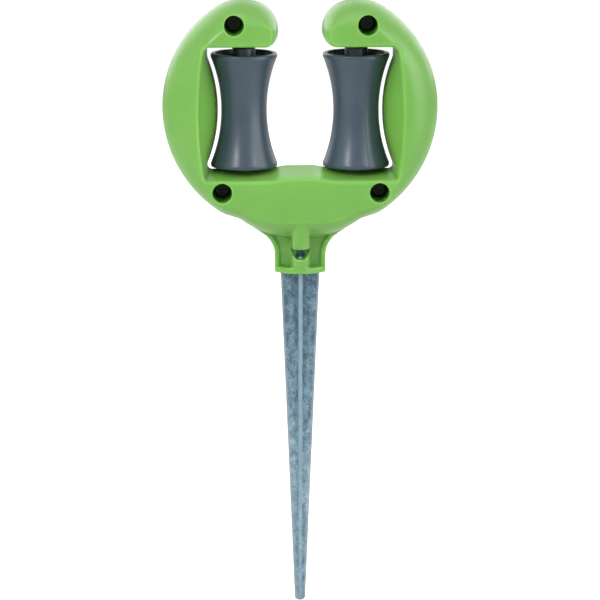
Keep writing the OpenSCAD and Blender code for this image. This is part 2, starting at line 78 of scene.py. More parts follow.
# depth of the head, and how far its rounding reaches in from the outline
HALF_D = 20.0  # one half of the head
EDGE_LAND = 1.0  # straight edge beside the parting plane
BELLY_BAND = 10.5
CORNER_BAND = 6.5
SIDE_BAND = 14.5
CROWN_BAND = 10.0
TIP_BAND = 3.3

# opening for the rollers
RIM_GAP_TOP = 4.0  # from a roller's rim to the arm above it
RIM_GAP_FLOOR = 1.2  # from a roller's rim to the seat below it
SIDE_GAP = 1.6  # from a roller to the arm beside it
ARM_W = 18.4  # width of an arm at the front, halfway up
EDGE_BOW = 2.0  # how far its inner edge bows in towards the opening's corners
CORNER_R = 2.2  # corners of the opening
DRAFT = 0.7  # rise of an arm's underside to the front
SEAT_FALL = 3.3  # fall of the roller seats to the front
EDGE_ROUND = 2.0  # rounding of the opening's front edges
HUMP_H = 1.6  # hump between the roller seats
HUMP_TOP = 5.5  # half the width of its top
HUMP_FOOT = 18.0  # half the width of its foot

# rollers and axles
AXLE_X = 28.1  # from the middle of the head
AXLE_R = 3.0
BORE_CLEAR = 0.08  # between a roller and its axle
SEAT_TOP = 6.5  # depth of an axle's seat in the arm
SEAT_LOW = 9.0  # depth of an axle's seat in the bar
BOSS_R = 5.5  # boss under each arm, against the roller's hub
BOSS_H = 0.9
ROLLER_L = 57.4
RIM_R = 16.7
WAIST_R = 11.4
RIM_LAND = 1.8  # straight land on each rim
RIM_ROUND = 0.9
ROLLER_WALL = 2.2
HUB_R = 5.8
WEB_HALF = 2.0  # half the thickness of the web inside
END_PLAY = 0.3

# screws
SCREW_TOP_X = 33.2
SCREW_TOP_RISE = 11.5  # above the arms' underside
SCREW_LOW_X = 39.3
SCREW_LOW_DROP = 9.7  # below the roller seats
BORE_R = 4.9  # counterbore
SCREW_FLOOR = 2.5  # shell under a screw's head
SHANK_R = 2.0

# socket
NECK_W = 25.6
FLARE_Z = 8.5  # where the neck starts to flare
FLARE_R = 13.0
FLARE_ANGLE = 55.0
FLARE_OVER = 1.6  # how far the flare's straight stretch runs on into the belly
FLANGE_W = 2.5  # along the neck's sides
FLANGE_D = 4.4
PANEL_D = 3.2  # between the flange and the spine
SPINE_W = 8.7
SPINE_D = 11.0  # at the collar
SPINE_LEAN = 18.0
COLLAR_D = 11.7
COLLAR_H = 3.0
WINDOW_W = 8.8
WINDOW_TOP = 13.0
WINDOW_CORNER = 10.0
WINDOW_LOW = 7.6
WINDOW_FOOT = 3.6  # width of the lowest edge

# spike
STAKE_L = 172.0  # below the collar
WING_W = 19.6  # over both wings, at the collar
WING_TIP_W = 5.2
FIN_D = 8.4  # reach of a fin, at the collar
FIN_TIP_D = 2.8
BLADE_T = 2.3
BLADE_TIP_T = 1.6
POINT_R = 3.2
SHOULDER_Z = 8.4
TANG_W = 3.0
TANG_HEAD_W = 13.0
TANG_HEAD_Z = 17.0
TANG_HEAD_H = 6.0
FIT = 0.15  # clearance in the socket

# where the loft's stations face each other, as angles of the outer side and shares of the opening
BEND_FROM = 41.0
BEND_TO = 33.0
FLOOR_SHARE = 0.72
UNDER_SHARE = 0.3
CROWN_SHARE = 0.85
WIDEN_SHARE = 0.75  # of the turn from the belly to the arms, over which the rounding widens

# angles at which the rounding ends, which leave a crease against the flat front
CREASE = math.radians(82)
BELLY_CREASE = math.radians(50)

# Sizes of the scene's own, in millimetres and degrees, for what is finer than the CAD or hidden.

# angle at which the crown's rounding ends, where the CAD has the same as elsewhere
CROWN_CREASE = math.radians(68)

# halves of the head
BEHIND = 2.0  # a half runs on this far behind the parting plane, until it is cut there
PARTING_GAP = 0.005  # from each half to the parting plane
REST_LOW = (-90.0, -PARTING_GAP, -20.0)  # a block behind that plane, larger than a half
REST_HIGH = (90.0, 10.0, 160.0)
OVER = 1.0  # cuts run this far past the faces that they open
SOCKET_OVER = 3.0  # and the spike's cuts this far below the collar
BOSS_ROOT = 2.5  # a boss runs this far up into its arm
NECK_TUCK = 2.5  # the neck's outline turns in and up this far, inside the belly
SEAT_CLEAR = 0.2  # round an axle
SEAT_SPARE = 0.3  # past an axle's ends
SHANK_CLEAR = 0.3  # round a screw
PILOT_DEEP = 13.0  # hole for a screw in the rear half
VOXEL = 0.45  # grid on which a half is softened
SMOOTH_ROUNDS = 6
SMOOTH_FACTOR = 0.5

# edges and mould lines of a roller
LIP_ROUND = 0.4  # inner edge of a rim
LIP_DEPTH = 0.5  # where that edge starts, below the rim's end
RIM_LEAD = 0.15  # where the rim's land starts, past the hollow side
HUB_ROUND = 0.5
BORE_CHAMFER = 0.3
WEB_FILLET = 0.8  # where the web meets the hub
WEB_FILLET_MIDDLE = 0.25
RIDGE_H = 0.07  # mould line
RIDGE_ANGLE = 0.45  # half its width
RIDGE_STEP = 0.4  # between the points across a mould line
RIDGE_STEPS = 3  # to each side of its middle
RIDGE_FROM_R = WAIST_R - 0.01  # only points from here out stand up in a mould line

# edges and rings of the spike
BLADE_EDGE = 0.4
BLADE_EDGE_SHARE = 0.85  # an edge takes at most this share of half a blade's thickness
ROOT_FILLET = 0.7
ROOT_FILLET_LEAST = 0.02
ROOT_FILLET_SHARE = 0.45  # a fillet takes at most this share of a blade's free reach
SHOULDER_BEVEL = 0.6
COLLAR_RING = 4.0  # rings this far above and below the collar's underside
POINT_LEAD = 3.0  # last even ring, above the rounded point
POINT_END_SHARE = 0.97  # of the point's radius, down to the last ring
POINT_BLADE_SHARE = 1.2  # a blade's thickness is at most this share of the point's half width
TANG_FOOT = 2.0  # the tang starts at this height, inside the wings

# fineness: stations along each stretch of the head, levels across it, and points of arcs and rings
BELLY_N = 44
HIP_N = 8
LOW_N = 15
LOWER_N = 1 + HIP_N + LOW_N
BEND_N = 14
SIDE_N = 60
UPPER_N = 12
CROWN_N = 30
TIP_N = 40
FLAT_N = 8
LEVELS = 22
FLARE_POINTS = 25
SPINE_POINTS = 41
COLLAR_POINTS = 49
BAR_SIDES = 72
ROLLER_SIDES = 180
ROLLER_OUTER_POINTS = 30
ROLLER_INNER_POINTS = 24
RIM_POINTS = 6
EDGE_POINTS = 5
ROOT_POINTS = 7
SPIKE_RINGS = 60
POINT_RINGS = 12
TURN_DIGITS = 4  # decimals of a degree that tell a roller's points apart
MERGE = 1e-5  # points closer than this become one
SHARP_EDGE = 35  # edges that bend more than this stay sharp, in degrees
SHARP_SHELL_EDGE = 50


def polar(centre, r, angle):
    return np.array([centre[0] + r * math.cos(angle), centre[1] + r * math.sin(angle)])


# places worked out from the sizes, with centres as (x, z) on the right-hand side
HIP_TURN = math.radians(HIP_ANGLE)
BELLY_START = math.radians(BELLY_ANGLE)
MID_Z = (BELLY_END_Z + LOW_R * math.sin(HIP_TURN) + HIP_R * (math.sin(BELLY_START) - math.sin(HIP_TURN))
         + HIP_L * math.cos(BELLY_START))
ARC_C = np.array([ARC_X, MID_Z])
SIDE_C = np.array([ARC_X + ARC_R - LOW_R, MID_Z])
HIP_C = polar(SIDE_C, LOW_R - HIP_R, -HIP_TURN)
CROWN_C = polar(ARC_C, ARC_R - CROWN_R, math.radians(CROWN_ANGLE))
TIP_TURN = math.acos((MOUTH_W / 2 + TIP_R - CROWN_C[0]) / (CROWN_R - TIP_R))
TIP_C = polar(CROWN_C, CROWN_R - TIP_R, TIP_TURN)
LOW_C = np.array([MOUTH_W / 2 + TIP_LOW_R, TIP_C[1]])
BELLY_X = HIP_C[0] + HIP_R * math.cos(BELLY_START) - HIP_L * math.sin(BELLY_START)
BELLY_Z = BELLY_END_Z - BELLY_DROP
BELLY_R = (BELLY_X**2 + BELLY_DROP**2) / (2 * BELLY_DROP)
BELLY_TURN = math.asin(BELLY_X / BELLY_R)
EDGE_X = ARC_X + ARC_R - ARM_W
WALL_DEEP = HALF_D - EDGE_ROUND
UNDER_Z = TIP_C[1] - TIP_LOW_R
RIM_TOP_Z = UNDER_Z - RIM_GAP_TOP
ROLLER_HALF = ROLLER_L / 2
ROLLER_Z = RIM_TOP_Z - ROLLER_HALF
FLOOR_Z = RIM_TOP_Z - ROLLER_L - RIM_GAP_FLOOR
HUB_TOP_Z = UNDER_Z - BOSS_H - END_PLAY
HUB_LOW_Z = FLOOR_Z + END_PLAY
ARC_HALF = ROLLER_HALF - RIM_LAND
HOLLOW_R = (ARC_HALF**2 + (RIM_R - WAIST_R) ** 2) / (2 * (RIM_R - WAIST_R))
HOLLOW_C = WAIST_R + HOLLOW_R
FLARE_TURN = math.radians(FLARE_ANGLE)
FLARE_REACH = FLARE_R * (1 - math.cos(FLARE_TURN))
FLARE_RUN = (BELLY_X - NECK_W / 2 - FLARE_REACH) / math.sin(FLARE_TURN) + FLARE_OVER
SIDES = (-1, 1)
AXLES = [(side * AXLE_X, 0) for side in SIDES]
SCREW_ROWS = ((SCREW_TOP_X, UNDER_Z + SCREW_TOP_RISE), (SCREW_LOW_X, FLOOR_Z - SCREW_LOW_DROP))
SCREWS = [(side * x, z) for x, z in SCREW_ROWS for side in SIDES]


# mesh helpers
def mesh_object(name, verts, faces):
    mesh = bpy.data.meshes.new(name)
    mesh.from_pydata([tuple(map(float, v)) for v in verts], [], [tuple(map(int, f)) for f in faces])
    bm = bmesh.new()
    bm.from_mesh(mesh)
    bmesh.ops.remove_doubles(bm, verts=bm.verts, dist=MERGE)
    bmesh.ops.recalc_face_normals(bm, faces=bm.faces)
    bm.to_mesh(mesh)
    bm.free()
    ob = bpy.data.objects.new(name, mesh)
    scene.collection.objects.link(ob)
    return ob


def walls(n):
    """Faces of a body between two rings of n points: its ends, and the wall round it."""
    ends = [list(range(n)), list(range(2 * n - 1, n - 1, -1))]
    return ends + [(i, (i + 1) % n, n + (i + 1) % n, n + i) for i in range(n)]


def prism(name, outline, lo, hi, axis="y"):
    """A flat outline, drawn in x and z (or x and y), pushed along y (or z) from lo to hi."""
    if axis == "y":
        verts = [(p[0], level, p[1]) for level in (lo, hi) for p in outline]
    else:
        verts = [(p[0], p[1], level) for level in (lo, hi) for p in outline]
    return mesh_object(name, verts, walls(len(outline)))


def box(name, lo, hi):
    outline = [(lo[0], lo[1]), (hi[0], lo[1]), (hi[0], hi[1]), (lo[0], hi[1])]
    return prism(name, outline, lo[2], hi[2], "z")


def round_bar(name, centre, r, lo, hi, axis="y"):
    """A round bar along y with its centre at (x, z), or along z with its centre at (x, y)."""
    turns = np.linspace(0, 2 * math.pi, BAR_SIDES, endpoint=False)
    return prism(name, [polar(centre, r, t) for t in turns], lo, hi, axis)


def corner(centre, r, start, end, n):
    """Points of an arc between two angles in degrees."""
    return [polar(centre, r, math.radians(a)) for a in np.linspace(start, end, n)]


def settle(ob):
    """Puts an object's modifiers into its mesh."""
    depsgraph = bpy.context.evaluated_depsgraph_get()
    mesh = bpy.data.meshes.new_from_object(ob.evaluated_get(depsgraph))
    old = ob.data
    ob.modifiers.clear()
    ob.data = mesh
    bpy.data.meshes.remove(old)


def combine(ob, others, how):
    """Joins other bodies to one, or cuts them out of it, and removes them."""
    for other in others:
        m = ob.modifiers.new("combine", "BOOLEAN")
        m.solver = "MANIFOLD"
        m.operation = how
        m.object = other
        settle(ob)
        old = other.data
        bpy.data.objects.remove(other)
        bpy.data.meshes.remove(old)


def soften(ob):
    """Rebuilds a body on an even grid and rounds its edges, as a mould does."""
    m = ob.modifiers.new("grid", "REMESH")
    m.mode = "VOXEL"
    m.voxel_size = VOXEL
    m.adaptivity = 0.0
    settle(ob)
    m = ob.modifiers.new("round", "SMOOTH")
    m.factor = SMOOTH_FACTOR
    m.iterations = SMOOTH_ROUNDS
    settle(ob)


def shade(ob, angle):
    ob.data.polygons.foreach_set("use_smooth", [True] * len(ob.data.polygons))
    ob.data.set_sharp_from_angle(angle=math.radians(angle))


def keep_in_box(ob):
    """Holds a piece that is drawn finer than the CAD inside the CAD's box."""
    places = np.empty(len(ob.data.vertices) * 3)
    ob.data.vertices.foreach_get("co", places)
    low, high = (np.array(end) / MM for end in cad_box)
    ob.data.vertices.foreach_set("co", np.clip(places.reshape(-1, 3), low, high).ravel())
    ob.data.update()


def dress(ob, material):
    ob.data.materials.clear()
    ob.data.materials.append(material)


def place(ob, body, slot, *nodes):
    """Brings a finished piece to metres and sets it on its body in place of the CAD nodes."""
    ob.data.transform(Matrix.Scale(MM, 4))
    ob.data.update()
    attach(ob, body)
    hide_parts(*nodes)


# the head's skin
def ease(t):
    return (1 - math.cos(math.pi * max(0.0, min(1.0, t)))) / 2


def blend(a, b, t):
    return a + (b - a) * ease(t)


def stations(start, end, n):
    """Even steps from the start up to the end, which isn't one of them."""
    return [start + (end - start) * i / n for i in range(n)]


def on_arc(centre, r, degrees, band, crease=CREASE):
    a = math.radians(degrees)
    return polar(centre, r, a), np.array([-math.cos(a), -math.sin(a)]), band, crease


def arc_band(degrees):
    """Reach of the rounding on an arm's outer side."""
    if degrees < 0:
        return blend(CORNER_BAND, SIDE_BAND, 1 + degrees / (BELLY_ANGLE * WIDEN_SHARE))
    return blend(SIDE_BAND, CROWN_BAND, degrees / CROWN_ANGLE)


def outside():
    """Rows along the outline, from the belly's middle to an arm's end: point, way in, band and crease."""
    rows = []
    for t in stations(0, 1, BELLY_N):
        rows.append(on_arc((0.0, BELLY_Z + BELLY_R), BELLY_R, -90 + math.degrees(BELLY_TURN) * t,
                           blend(BELLY_BAND, CORNER_BAND, t), blend(BELLY_CREASE, CREASE, t)))
    way_in = np.array([-math.cos(BELLY_START), math.sin(BELLY_START)])
    rows.append((np.array([BELLY_X, BELLY_END_Z]), way_in, CORNER_BAND, CREASE))
    for a in stations(-BELLY_ANGLE, -HIP_ANGLE, HIP_N):
        rows.append(on_arc(HIP_C, HIP_R, a, CORNER_BAND))
    stretches = ((-HIP_ANGLE, -BEND_FROM, LOW_N), (-BEND_FROM, -BEND_TO, BEND_N),
                 (-BEND_TO, BEND_TO, SIDE_N), (BEND_TO, BEND_FROM, BEND_N),
                 (BEND_FROM, CROWN_ANGLE, UPPER_N))
    for a in [angle for stretch in stretches for angle in stations(*stretch)]:
        centre, r = (SIDE_C, LOW_R) if a < 0 else (ARC_C, ARC_R)
        crease = blend(CREASE, CROWN_CREASE, (a - BEND_TO) / (CROWN_ANGLE - BEND_TO))
        rows.append(on_arc(centre, r, a, arc_band(a), crease))
    turn = math.degrees(TIP_TURN)
    for a in stations(CROWN_ANGLE, turn, CROWN_N):
        rows.append(on_arc(CROWN_C, CROWN_R, a, CROWN_BAND, CROWN_CREASE))
    # the crown's crease fades over the last third of the arm's end
    for t in stations(0, 1, TIP_N) + [1.0]:
        rows.append(on_arc(TIP_C, TIP_R, turn + (180 - turn) * t, blend(CROWN_BAND, TIP_BAND, t),
                           blend(CROWN_CREASE, CREASE, 3 * t - 2)))
    return rows


def wall_x(z, forward):
    """An arm's inner wall at a height, from the parting plane (forward is 0) to the front (1)."""
    d = min(abs(z - ROLLER_Z), ARC_HALF)
    at_parting = AXLE_X + HOLLOW_C - math.sqrt(HOLLOW_R**2 - d**2) + SIDE_GAP
    at_front = EDGE_X - EDGE_BOW * ((z - ROLLER_Z) / ROLLER_HALF) ** 2
    return (1 - forward) * at_parting + forward * at_front


def hump(x):
    return HUMP_H * ease((HUMP_FOOT - x) / (HUMP_FOOT - HUMP_TOP))


def inside(forward):
    """Rows along the opening, from the hump to an arm's end: point, way out, rounding and wall depth."""
    floor_z = FLOOR_Z - forward * SEAT_FALL
    under_z = UNDER_Z + forward * DRAFT
    floor_x = wall_x(floor_z + CORNER_R, forward) - CORNER_R
    under_x = wall_x(under_z - CORNER_R, forward) - CORNER_R
    belly_x = floor_x * FLOOR_SHARE
    upper_x = under_x + (LOW_C[0] - under_x) * UNDER_SHARE
    crown_x = under_x + (LOW_C[0] - under_x) * CROWN_SHARE
    rows = []

    def add(point, way_out, reach=EDGE_ROUND, deep=WALL_DEEP):
        rows.append((np.array(point, float), np.array(way_out, float), reach, deep))

    def add_corner(centre, start, end):
        for degrees in stations(start, end, BEND_N):
            a = math.radians(degrees)
            add(polar(centre, CORNER_R, a), (math.cos(a), math.sin(a)))

    for x in stations(0, belly_x, BELLY_N) + stations(belly_x, floor_x, LOWER_N):
        add((x, floor_z + hump(x)), (0, -1))
    add_corner((floor_x, floor_z + CORNER_R), -90, 0)
    for z in stations(floor_z + CORNER_R, under_z - CORNER_R, SIDE_N):
        add((wall_x(z, forward), z), (1, 0))
    add_corner((under_x, under_z - CORNER_R), 0, 90)
    for stretch in ((under_x, upper_x, UPPER_N), (upper_x, crown_x, CROWN_N), (crown_x, LOW_C[0], FLAT_N)):
        for x in stations(*stretch):
            add((x, under_z), (0, 1))
    for t in stations(0, 1, TIP_N - FLAT_N) + [1.0]:
        a = math.radians(-90 - 90 * t)
        lift = np.array([0, forward * DRAFT * (1 - t)])
        add(polar(LOW_C, TIP_LOW_R, a) + lift, (-math.cos(a), -math.sin(a)),
            blend(EDGE_ROUND, TIP_BAND, t), blend(WALL_DEEP, EDGE_LAND, t))
    return rows


def chain(foot, start, direction, reach, deep, crease=CREASE):
    """One side of a section, from behind the parting plane to the flat front."""
    points = [(foot[0], BEHIND, foot[1]), (foot[0], 0.0, foot[1])]
    for k in range(LEVELS + 1):
        t = crease * k / LEVELS
        across = start + direction * reach * (1 - math.cos(t)) / (1 - math.cos(crease))
        depth = deep + (HALF_D - deep) * math.sin(t) / math.sin(crease)
        points.append((across[0], -depth, across[1]))
    return points


def horseshoe():
    """The skin of one half, lofted round the head. An outer and an inner chain meet at each arm's end."""
    sections = []
    for outer, at_parting, at_front in zip(outside(), inside(0), inside(1)):
        rim, way_in, band, crease = outer
        edge, way_out, reach, deep = at_front
        foot = at_parting[0]
        straight = foot + (edge - foot) * deep / WALL_DEEP
        sections.append((chain(rim, rim, way_in, band, EDGE_LAND, crease),
                         chain(foot, straight, way_out, reach, deep)))
    last = len(sections) - 1
    n = len(sections[0][0])
    verts, index, faces = [], {}, []
    for i in range(-last, last + 1):
        for c in (0, 1):
            if c == 1 and abs(i) == last:
                continue
            for k, p in enumerate(sections[abs(i)][c]):
                index[i, c, k] = len(verts)
                verts.append(((-1 if i < 0 else 1) * p[0], p[1], p[2]))

    def at(i, c, k):
        return index[i, 0 if abs(i) == last else c, k]

    def quad(*corners):
        kept = [c for j, c in enumerate(corners) if c != corners[j - 1]]
        if len(kept) > 2:
            faces.append(kept)

    for i in range(-last, last):
        for k in range(n - 1):
            quad(at(i, 0, k), at(i, 0, k + 1), at(i + 1, 0, k + 1), at(i + 1, 0, k))
            quad(at(i + 1, 1, k), at(i + 1, 1, k + 1), at(i, 1, k + 1), at(i, 1, k))
        quad(at(i, 0, n - 1), at(i, 1, n - 1), at(i + 1, 1, n - 1), at(i + 1, 0, n - 1))
        quad(at(i, 1, 0), at(i, 0, 0), at(i + 1, 0, 0), at(i + 1, 1, 0))
    return mesh_object("skin", verts, faces)


# the socket under the head
def neck_outline(inset):
    """The neck's outline in x and z, flaring up into the belly, or a line at an inset from it."""
    centre = np.array([NECK_W / 2 + FLARE_R, FLARE_Z])
    r = FLARE_R + inset
    side = [np.array([NECK_W / 2 - inset, 0.0])]
    for t in np.linspace(0, FLARE_TURN, FLARE_POINTS):
        side.append(centre + r * np.array([-math.cos(t), math.sin(t)]))
    end = side[-1] + FLARE_RUN * np.array([math.sin(FLARE_TURN), math.cos(FLARE_TURN)])
    side += [end, end + np.array([-NECK_TUCK, NECK_TUCK])]
    return side + [np.array([-p[0], p[1]]) for p in reversed(side)]


def spine():
    """A half-round rib up the socket's middle, leaning out until it meets the belly."""
    r = SPINE_W / 2
    outline = [(r, BEHIND)]
    for t in np.linspace(0, math.pi, SPINE_POINTS):
        outline.append((r * math.cos(t), -SPINE_D + r - r * math.sin(t)))
    outline.append((-r, BEHIND))
    slope = math.tan(math.radians(SPINE_LEAN))
    verts = []
    for z in (0.0, BELLY_Z + BELLY_BAND):
        for x, y in outline:
            verts.append((x, y - z * slope if y < 0 else y, z))
    return mesh_object("spine", verts, walls(len(outline)))


def collar():
    """A low plate with a bowed front, round the socket's foot."""
    rise = COLLAR_D - FLANGE_D
    bow = (NECK_W**2 / 4 + rise**2) / (2 * rise)
    reach = math.asin(NECK_W / 2 / bow)
    outline = [(NECK_W / 2, BEHIND)]
    for t in np.linspace(reach, -reach, COLLAR_POINTS):
        outline.append((bow * math.sin(t), bow - COLLAR_D - bow * math.cos(t)))
    outline.append((-NECK_W / 2, BEHIND))
    return prism("collar", outline, 0.0, COLLAR_H, "z")


def socket_cuts():
    """Room for the spike's wings and fin, and for its tang with the head that the halves catch."""
    back = BEHIND + OVER
    shoulder = SHOULDER_Z + FIT
    blade, wing, fin = BLADE_T / 2 + FIT, WING_W / 2 + FIT, FIN_D + FIT
    tang, head = TANG_W / 2 + FIT, TANG_HEAD_W / 2 + FIT
    return [box("wings", (-wing, -blade, -SOCKET_OVER), (wing, back, shoulder)),
            box("fin", (-blade, -fin, -SOCKET_OVER), (blade, back, shoulder)),
            box("tang", (-tang, -blade, 0), (tang, back, TANG_HEAD_Z + OVER)),
            box("tang_head", (-head, -blade, TANG_HEAD_Z - FIT),
                (head, back, TANG_HEAD_Z + TANG_HEAD_H + FIT))]


# the two halves of the head
def axle_seats():
    low, top = FLOOR_Z - SEAT_LOW - SEAT_SPARE, UNDER_Z + SEAT_TOP + SEAT_SPARE
    return [round_bar("seat", axle, AXLE_R + SEAT_CLEAR, low, top, "z") for axle in AXLES]


def front_holes():
    """The window in the spine, and the counterbores and holes for the screws."""
    half, foot = WINDOW_W / 2, WINDOW_FOOT / 2
    window = [(-half, WINDOW_TOP), (-half, WINDOW_CORNER), (-foot, WINDOW_LOW),
              (foot, WINDOW_LOW), (half, WINDOW_CORNER), (half, WINDOW_TOP)]
    holes = [prism("window", window, -HALF_D - OVER, -BLADE_T / 2 - FIT)]
    for screw in SCREWS:
        holes.append(round_bar("bore", screw, BORE_R, -HALF_D - OVER, -SCREW_FLOOR))
        holes.append(round_bar("shank", screw, SHANK_R + SHANK_CLEAR, -SCREW_FLOOR - OVER, BEHIND + OVER))
    return holes


def rear_holes():
    return [round_bar("pilot", screw, SHANK_R + SHANK_CLEAR, -PILOT_DEEP, BEHIND + OVER) for screw in SCREWS]


def half_shell(name, holes):
    """One half of the head, drawn at the front and cut off a hair's breadth before the parting plane."""
    body = horseshoe()
    flange = prism("flange", neck_outline(0), -FLANGE_D, BEHIND)
    combine(flange, [prism("pocket", neck_outline(FLANGE_W), -HALF_D, -PANEL_D)], "DIFFERENCE")
    bosses = [round_bar("boss", axle, BOSS_R, UNDER_Z - BOSS_H, UNDER_Z + BOSS_ROOT, "z") for axle in AXLES]
    combine(body, [flange, spine(), collar(), *bosses], "UNION")
    combine(body, socket_cuts() + axle_seats() + holes, "DIFFERENCE")
    soften(body)
    combine(body, [box("rest", REST_LOW, REST_HIGH)], "DIFFERENCE")
    body.name = body.data.name = name
    return body


front = half_shell("front_half", front_holes())
rear = half_shell("rear_half", rear_holes())
rear.data.transform(Matrix.Scale(-1, 4, (0, 1, 0)))
rear.data.flip_normals()


# the rollers
def roller_profile():
    """Half section as (radius, height about the waist), from the bore's lower end round to its upper end."""
    bore = AXLE_R + BORE_CLEAR
    lip = RIM_R - ROLLER_WALL
    outer = []
    for y in np.linspace(0, ARC_HALF, ROLLER_OUTER_POINTS):
        outer.append((HOLLOW_C - math.sqrt(HOLLOW_R**2 - y**2), y))
    inner = []
    for y in np.linspace(WEB_HALF + WEB_FILLET, ROLLER_HALF - LIP_DEPTH, ROLLER_INNER_POINTS):
        inner.append((min(lip, HOLLOW_C - math.sqrt((HOLLOW_R + ROLLER_WALL) ** 2 - y**2)), y))
    rim = corner((RIM_R - RIM_ROUND, ROLLER_HALF - RIM_ROUND), RIM_ROUND, 0, 90, RIM_POINTS)
    mouth = corner((lip + LIP_ROUND, ROLLER_HALF - LIP_ROUND), LIP_ROUND, 90, 180, EDGE_POINTS)
    root = [(HUB_R + WEB_FILLET, WEB_HALF), (HUB_R + WEB_FILLET_MIDDLE, WEB_HALF + WEB_FILLET_MIDDLE),
            (HUB_R, WEB_HALF + WEB_FILLET)]

    def half(hub_end):
        hub = corner((HUB_R - HUB_ROUND, hub_end - HUB_ROUND), HUB_ROUND, 0, 90, EDGE_POINTS)
        chamfer = [(bore + BORE_CHAMFER, hub_end), (bore, hub_end - BORE_CHAMFER)]
        return outer + [(RIM_R, ARC_HALF + RIM_LEAD)] + rim + mouth + inner[::-1] + root + hub + chamfer

    upper = half(HUB_TOP_Z - ROLLER_Z)
    lower = [(r, -y) for r, y in half(ROLLER_Z - HUB_LOW_Z)]
    return lower[:0:-1] + upper


def roller(name, side, line):
    """A turned mesh with two faint mould lines, the first at the angle given."""
    profile = roller_profile()
    turns = set(np.round(np.linspace(0, 360, ROLLER_SIDES, endpoint=False), TURN_DIGITS))
    for middle in (line, line + 180):
        for step in range(-RIDGE_STEPS, RIDGE_STEPS + 1):
            turns.add(round((middle + step * RIDGE_STEP) % 360, TURN_DIGITS))
    turns = sorted(turns)
    verts, n = [], len(profile)
    for degrees in turns:
        off = abs((degrees - line + 90) % 180 - 90)
        ridge = RIDGE_H * math.exp(-((off / RIDGE_ANGLE) ** 2))
        a = math.radians(degrees)
        for r, y in profile:
            reach = r + (ridge if r > RIDGE_FROM_R else 0.0)
            verts.append((side * AXLE_X + reach * math.cos(a), reach * math.sin(a), ROLLER_Z + y))
    faces = []
    for i in range(len(turns)):
        j = (i + 1) % len(turns)
        for k in range(n):
            m = (k + 1) % n
            faces.append((i * n + k, j * n + k, j * n + m, i * n + m))
    ob = mesh_object(name, verts, faces)
    shade(ob, SHARP_EDGE)
    return ob


left_roller = roller("left_waisted_roller", side=-1, line=210)
right_roller = roller("right_waisted_roller", side=1, line=-68)


# the spike
def cross_outline(width, depth, thick, fillet):
    """A plus-shaped outline: wings along x, fins along y, with rounded edges and filleted roots."""
    w, h = width / 2, thick / 2
    edge = min(BLADE_EDGE, h * BLADE_EDGE_SHARE)
    half = corner((w - edge, edge - h), edge, -90, 0, EDGE_POINTS)
    half += corner((w - edge, h - edge), edge, 0, 90, EDGE_POINTS)
    half += corner((h + fillet, h + fillet), fillet, -90, -180, ROOT_POINTS)
    half += corner((h - edge, depth - edge), edge, 0, 90, EDGE_POINTS)
    half += corner((edge - h, depth - edge), edge, 90, 180, EDGE_POINTS)
    half += corner((-h - fillet, h + fillet), fillet, 0, -90, ROOT_POINTS)
    return half + [(-x, -y) for x, y in half]


def tang_bar():
    """The tang in the socket, with the wider head that the halves catch."""
    neck, head = TANG_W / 2, TANG_HEAD_W / 2
    low, top = TANG_HEAD_Z, TANG_HEAD_Z + TANG_HEAD_H
    outline = [(-neck, TANG_FOOT), (neck, TANG_FOOT), (neck, low), (head, low),
               (head, top), (-head, top), (-head, low), (-neck, low)]
    return prism("tang", outline, -BLADE_T / 2, BLADE_T / 2)


def spike():
    """Rings of the cross outline from the shoulders down to the rounded point, and the tang on top."""
    heights = [SHOULDER_Z, SHOULDER_Z - SHOULDER_BEVEL / 2, SHOULDER_Z - SHOULDER_BEVEL, COLLAR_RING, 0.0]
    heights += list(np.linspace(-COLLAR_RING, -STAKE_L + POINT_R + POINT_LEAD, SPIKE_RINGS))
    heights += [-STAKE_L + POINT_R * (1 - s) for s in np.linspace(0, POINT_END_SHARE, POINT_RINGS)]
    verts, rings = [], []
    for z in heights:
        s = max(0.0, -z / STAKE_L)
        width = WING_W + (WING_TIP_W - WING_W) * s
        depth = FIN_D + (FIN_TIP_D - FIN_D) * s
        thick = BLADE_T + (BLADE_TIP_T - BLADE_T) * s
        bevel = max(0.0, z - SHOULDER_Z + SHOULDER_BEVEL)
        low = z + STAKE_L - POINT_R
        limit = math.sqrt(POINT_R**2 - low**2) if low < 0 else WING_W
        width = min(width, 2 * limit) - bevel
        depth = min(depth, limit) - bevel / 2
        thick = min(thick, POINT_BLADE_SHARE * limit)
        fillet = min(ROOT_FILLET, (min(width / 2, depth) - thick / 2) * ROOT_FILLET_SHARE)
        outline = cross_outline(width, depth, thick, max(ROOT_FILLET_LEAST, fillet))
        rings.append(range(len(verts), len(verts) + len(outline)))
        verts += [(x, y, z) for x, y in outline]
    n, faces = len(rings[0]), []
    for a, b in zip(rings, rings[1:]):
        faces += [(a[i], a[(i + 1) % n], b[(i + 1) % n], b[i]) for i in range(n)]
    faces += [list(rings[0])[::-1], list(rings[-1])]
    ob = mesh_object("galvanised_spike", verts, faces)
    combine(ob, [tang_bar()], "UNION")
    shade(ob, SHARP_EDGE)
    return ob


stake = spike()

# Tones and levels of the materials, with lengths in metres.

# darkest and lightest tone of each plastic, and where they lie in a noise
GREEN = ((0.162, 0.398, 0.066), (0.186, 0.430, 0.081))
SLATE = ((0.030, 0.048, 0.067), (0.037, 0.057, 0.079))
NOISE_LOW, NOISE_HIGH = 0.3, 0.7
PLASTIC_IOR = 1.48
GLOW_DEPTH = 0.008
GLOW_RADIUS = (0.4, 0.5, 0.25)  # how far red, green and blue light goes in, as shares of that depth
PLASTIC_GRAIN_DEPTH = 0.00002

# dark line where the two halves meet, as shares of the tones beside it
SEAM_SHARES = (0.35, 0.4)
SEAM_INNER, SEAM_OUTER = 0.00012, 0.00022

